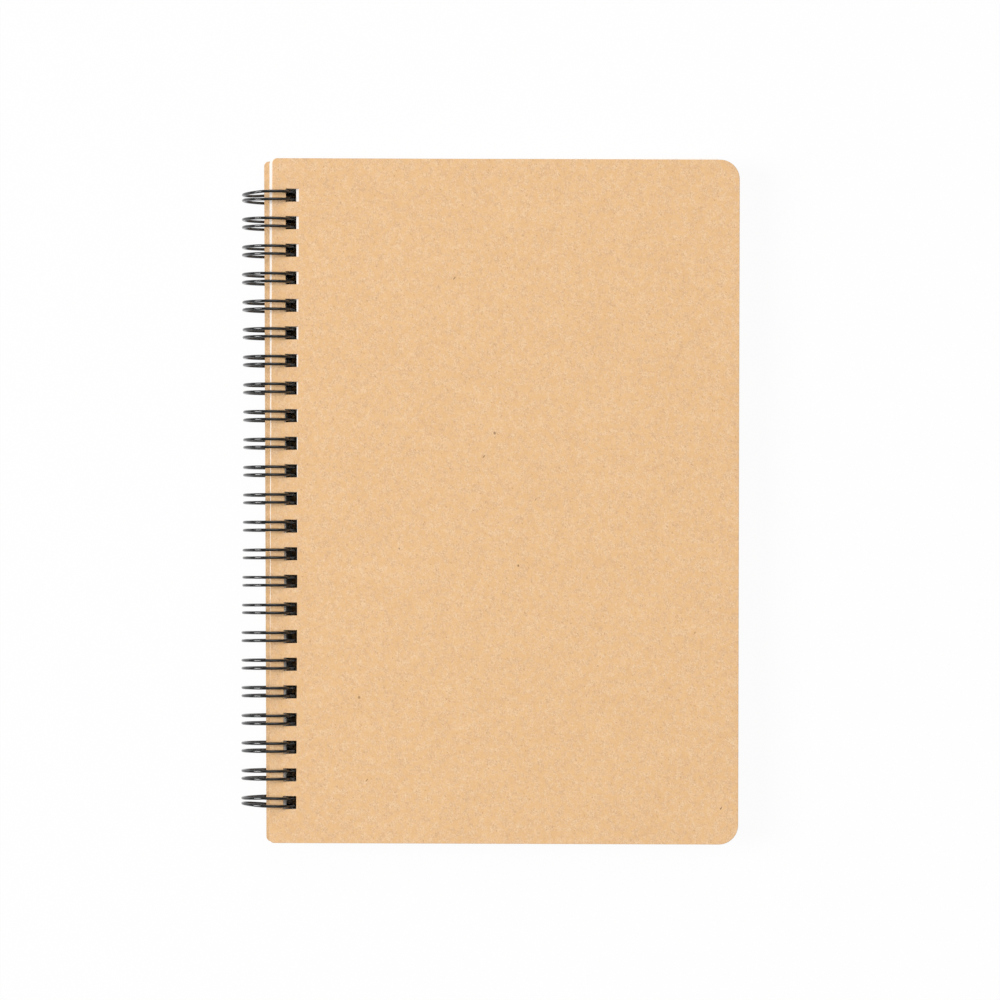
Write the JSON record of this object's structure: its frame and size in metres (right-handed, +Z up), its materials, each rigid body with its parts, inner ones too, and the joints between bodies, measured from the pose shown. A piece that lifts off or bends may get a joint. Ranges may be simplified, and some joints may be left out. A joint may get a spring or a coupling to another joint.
{
  "type": "sketchbook",
  "caption": "Closed wire-bound sketchbook with card covers, loose punched drawing sheets and a black twin-loop wire binding along the spine.",
  "frame": {"origin": "on the table under the middle of the closed book's box", "axes": "+Z up from the table through the front cover, +Y along the spine to the head of the page, +X from the spine to the fore-edge"},
  "size_m": [0.1531, 0.2111, 0.0169],
  "materials": {
    "wire": "black satin coating on steel wire",
    "card": "uncoated brown kraft board with fine flecks",
    "paper": "uncoated white drawing paper"
  },
  "bodies": {
    "back_cover": {"back_cover": "card"},
    "sheet_01": {"sheet_01": "paper"},
    "sheet_02": {"sheet_02": "paper"},
    "sheet_03": {"sheet_03": "paper"},
    "sheet_04": {"sheet_04": "paper"},
    "sheet_05": {"sheet_05": "paper"},
    "sheet_06": {"sheet_06": "paper"},
    "sheet_07": {"sheet_07": "paper"},
    "sheet_08": {"sheet_08": "paper"},
    "sheet_09": {"sheet_09": "paper"},
    "sheet_10": {"sheet_10": "paper"},
    "sheet_11": {"sheet_11": "paper"},
    "sheet_12": {"sheet_12": "paper"},
    "sheet_13": {"sheet_13": "paper"},
    "sheet_14": {"sheet_14": "paper"},
    "sheet_15": {"sheet_15": "paper"},
    "sheet_16": {"sheet_16": "paper"},
    "sheet_17": {"sheet_17": "paper"},
    "sheet_18": {"sheet_18": "paper"},
    "sheet_19": {"sheet_19": "paper"},
    "sheet_20": {"sheet_20": "paper"},
    "sheet_21": {"sheet_21": "paper"},
    "sheet_22": {"sheet_22": "paper"},
    "sheet_23": {"sheet_23": "paper"},
    "sheet_24": {"sheet_24": "paper"},
    "sheet_25": {"sheet_25": "paper"},
    "sheet_26": {"sheet_26": "paper"},
    "sheet_27": {"sheet_27": "paper"},
    "sheet_28": {"sheet_28": "paper"},
    "sheet_29": {"sheet_29": "paper"},
    "sheet_30": {"sheet_30": "paper"},
    "sheet_31": {"sheet_31": "paper"},
    "sheet_32": {"sheet_32": "paper"},
    "sheet_33": {"sheet_33": "paper"},
    "sheet_34": {"sheet_34": "paper"},
    "sheet_35": {"sheet_35": "paper"},
    "sheet_36": {"sheet_36": "paper"},
    "sheet_37": {"sheet_37": "paper"},
    "sheet_38": {"sheet_38": "paper"},
    "sheet_39": {"sheet_39": "paper"},
    "sheet_40": {"sheet_40": "paper"},
    "front_cover": {"front_cover": "card"},
    "wire_binding": {"wire_binding": "wire"}
  },
  "joints": [
    {"name": "sheet_01_turn", "type": "hinge", "parent": "back_cover", "child": "sheet_01", "pos_m": [-0.06798, 0, 0.00849], "axis": [0, -1, 0], "range_deg": [0, 180]},
    {"name": "sheet_02_turn", "type": "hinge", "parent": "sheet_01", "child": "sheet_02", "pos_m": [-0.06798, 0, 0.00849], "axis": [0, -1, 0], "range_deg": [0, 180]},
    {"name": "sheet_03_turn", "type": "hinge", "parent": "sheet_02", "child": "sheet_03", "pos_m": [-0.06798, 0, 0.00849], "axis": [0, -1, 0], "range_deg": [0, 180]},
    {"name": "sheet_04_turn", "type": "hinge", "parent": "sheet_03", "child": "sheet_04", "pos_m": [-0.06798, 0, 0.00849], "axis": [0, -1, 0], "range_deg": [0, 180]},
    {"name": "sheet_05_turn", "type": "hinge", "parent": "sheet_04", "child": "sheet_05", "pos_m": [-0.06798, 0, 0.00849], "axis": [0, -1, 0], "range_deg": [0, 180]},
    {"name": "sheet_06_turn", "type": "hinge", "parent": "sheet_05", "child": "sheet_06", "pos_m": [-0.06798, 0, 0.00849], "axis": [0, -1, 0], "range_deg": [0, 180]},
    {"name": "sheet_07_turn", "type": "hinge", "parent": "sheet_06", "child": "sheet_07", "pos_m": [-0.06798, 0, 0.00849], "axis": [0, -1, 0], "range_deg": [0, 180]},
    {"name": "sheet_08_turn", "type": "hinge", "parent": "sheet_07", "child": "sheet_08", "pos_m": [-0.06798, 0, 0.00849], "axis": [0, -1, 0], "range_deg": [0, 180]},
    {"name": "sheet_09_turn", "type": "hinge", "parent": "sheet_08", "child": "sheet_09", "pos_m": [-0.06798, 0, 0.00849], "axis": [0, -1, 0], "range_deg": [0, 180]},
    {"name": "sheet_10_turn", "type": "hinge", "parent": "sheet_09", "child": "sheet_10", "pos_m": [-0.06798, 0, 0.00849], "axis": [0, -1, 0], "range_deg": [0, 180]},
    {"name": "sheet_11_turn", "type": "hinge", "parent": "sheet_10", "child": "sheet_11", "pos_m": [-0.06798, 0, 0.00849], "axis": [0, -1, 0], "range_deg": [0, 180]},
    {"name": "sheet_12_turn", "type": "hinge", "parent": "sheet_11", "child": "sheet_12", "pos_m": [-0.06798, 0, 0.00849], "axis": [0, -1, 0], "range_deg": [0, 180]},
    {"name": "sheet_13_turn", "type": "hinge", "parent": "sheet_12", "child": "sheet_13", "pos_m": [-0.06798, 0, 0.00849], "axis": [0, -1, 0], "range_deg": [0, 180]},
    {"name": "sheet_14_turn", "type": "hinge", "parent": "sheet_13", "child": "sheet_14", "pos_m": [-0.06798, 0, 0.00849], "axis": [0, -1, 0], "range_deg": [0, 180]},
    {"name": "sheet_15_turn", "type": "hinge", "parent": "sheet_14", "child": "sheet_15", "pos_m": [-0.06798, 0, 0.00849], "axis": [0, -1, 0], "range_deg": [0, 180]},
    {"name": "sheet_16_turn", "type": "hinge", "parent": "sheet_15", "child": "sheet_16", "pos_m": [-0.06798, 0, 0.00849], "axis": [0, -1, 0], "range_deg": [0, 180]},
    {"name": "sheet_17_turn", "type": "hinge", "parent": "sheet_16", "child": "sheet_17", "pos_m": [-0.06798, 0, 0.00849], "axis": [0, -1, 0], "range_deg": [0, 180]},
    {"name": "sheet_18_turn", "type": "hinge", "parent": "sheet_17", "child": "sheet_18", "pos_m": [-0.06798, 0, 0.00849], "axis": [0, -1, 0], "range_deg": [0, 180]},
    {"name": "sheet_19_turn", "type": "hinge", "parent": "sheet_18", "child": "sheet_19", "pos_m": [-0.06798, 0, 0.00849], "axis": [0, -1, 0], "range_deg": [0, 180]},
    {"name": "sheet_20_turn", "type": "hinge", "parent": "sheet_19", "child": "sheet_20", "pos_m": [-0.06798, 0, 0.00849], "axis": [0, -1, 0], "range_deg": [0, 180]},
    {"name": "sheet_21_turn", "type": "hinge", "parent": "sheet_20", "child": "sheet_21", "pos_m": [-0.06798, 0, 0.00849], "axis": [0, -1, 0], "range_deg": [0, 180]},
    {"name": "sheet_22_turn", "type": "hinge", "parent": "sheet_21", "child": "sheet_22", "pos_m": [-0.06798, 0, 0.00849], "axis": [0, -1, 0], "range_deg": [0, 180]},
    {"name": "sheet_23_turn", "type": "hinge", "parent": "sheet_22", "child": "sheet_23", "pos_m": [-0.06798, 0, 0.00849], "axis": [0, -1, 0], "range_deg": [0, 180]},
    {"name": "sheet_24_turn", "type": "hinge", "parent": "sheet_23", "child": "sheet_24", "pos_m": [-0.06798, 0, 0.00849], "axis": [0, -1, 0], "range_deg": [0, 180]},
    {"name": "sheet_25_turn", "type": "hinge", "parent": "sheet_24", "child": "sheet_25", "pos_m": [-0.06798, 0, 0.00849], "axis": [0, -1, 0], "range_deg": [0, 180]},
    {"name": "sheet_26_turn", "type": "hinge", "parent": "sheet_25", "child": "sheet_26", "pos_m": [-0.06798, 0, 0.00849], "axis": [0, -1, 0], "range_deg": [0, 180]},
    {"name": "sheet_27_turn", "type": "hinge", "parent": "sheet_26", "child": "sheet_27", "pos_m": [-0.06798, 0, 0.00849], "axis": [0, -1, 0], "range_deg": [0, 180]},
    {"name": "sheet_28_turn", "type": "hinge", "parent": "sheet_27", "child": "sheet_28", "pos_m": [-0.06798, 0, 0.00849], "axis": [0, -1, 0], "range_deg": [0, 180]},
    {"name": "sheet_29_turn", "type": "hinge", "parent": "sheet_28", "child": "sheet_29", "pos_m": [-0.06798, 0, 0.00849], "axis": [0, -1, 0], "range_deg": [0, 180]},
    {"name": "sheet_30_turn", "type": "hinge", "parent": "sheet_29", "child": "sheet_30", "pos_m": [-0.06798, 0, 0.00849], "axis": [0, -1, 0], "range_deg": [0, 180]},
    {"name": "sheet_31_turn", "type": "hinge", "parent": "sheet_30", "child": "sheet_31", "pos_m": [-0.06798, 0, 0.00849], "axis": [0, -1, 0], "range_deg": [0, 180]},
    {"name": "sheet_32_turn", "type": "hinge", "parent": "sheet_31", "child": "sheet_32", "pos_m": [-0.06798, 0, 0.00849], "axis": [0, -1, 0], "range_deg": [0, 180]},
    {"name": "sheet_33_turn", "type": "hinge", "parent": "sheet_32", "child": "sheet_33", "pos_m": [-0.06798, 0, 0.00849], "axis": [0, -1, 0], "range_deg": [0, 180]},
    {"name": "sheet_34_turn", "type": "hinge", "parent": "sheet_33", "child": "sheet_34", "pos_m": [-0.06798, 0, 0.00849], "axis": [0, -1, 0], "range_deg": [0, 180]},
    {"name": "sheet_35_turn", "type": "hinge", "parent": "sheet_34", "child": "sheet_35", "pos_m": [-0.06798, 0, 0.00849], "axis": [0, -1, 0], "range_deg": [0, 180]},
    {"name": "sheet_36_turn", "type": "hinge", "parent": "sheet_35", "child": "sheet_36", "pos_m": [-0.06798, 0, 0.00849], "axis": [0, -1, 0], "range_deg": [0, 180]},
    {"name": "sheet_37_turn", "type": "hinge", "parent": "sheet_36", "child": "sheet_37", "pos_m": [-0.06798, 0, 0.00849], "axis": [0, -1, 0], "range_deg": [0, 180]},
    {"name": "sheet_38_turn", "type": "hinge", "parent": "sheet_37", "child": "sheet_38", "pos_m": [-0.06798, 0, 0.00849], "axis": [0, -1, 0], "range_deg": [0, 180]},
    {"name": "sheet_39_turn", "type": "hinge", "parent": "sheet_38", "child": "sheet_39", "pos_m": [-0.06798, 0, 0.00849], "axis": [0, -1, 0], "range_deg": [0, 180]},
    {"name": "sheet_40_turn", "type": "hinge", "parent": "sheet_39", "child": "sheet_40", "pos_m": [-0.06798, 0, 0.00849], "axis": [0, -1, 0], "range_deg": [0, 180]},
    {"name": "front_cover_turn", "type": "hinge", "parent": "sheet_40", "child": "front_cover", "pos_m": [-0.06798, 0, 0.00849], "axis": [0, -1, 0], "range_deg": [0, 180]},
    {"name": "wire_turn", "type": "hinge", "parent": "back_cover", "child": "wire_binding", "pos_m": [-0.06798, 0, 0.00849], "axis": [0, -1, 0], "range_deg": [-215, 20]}
  ]
}
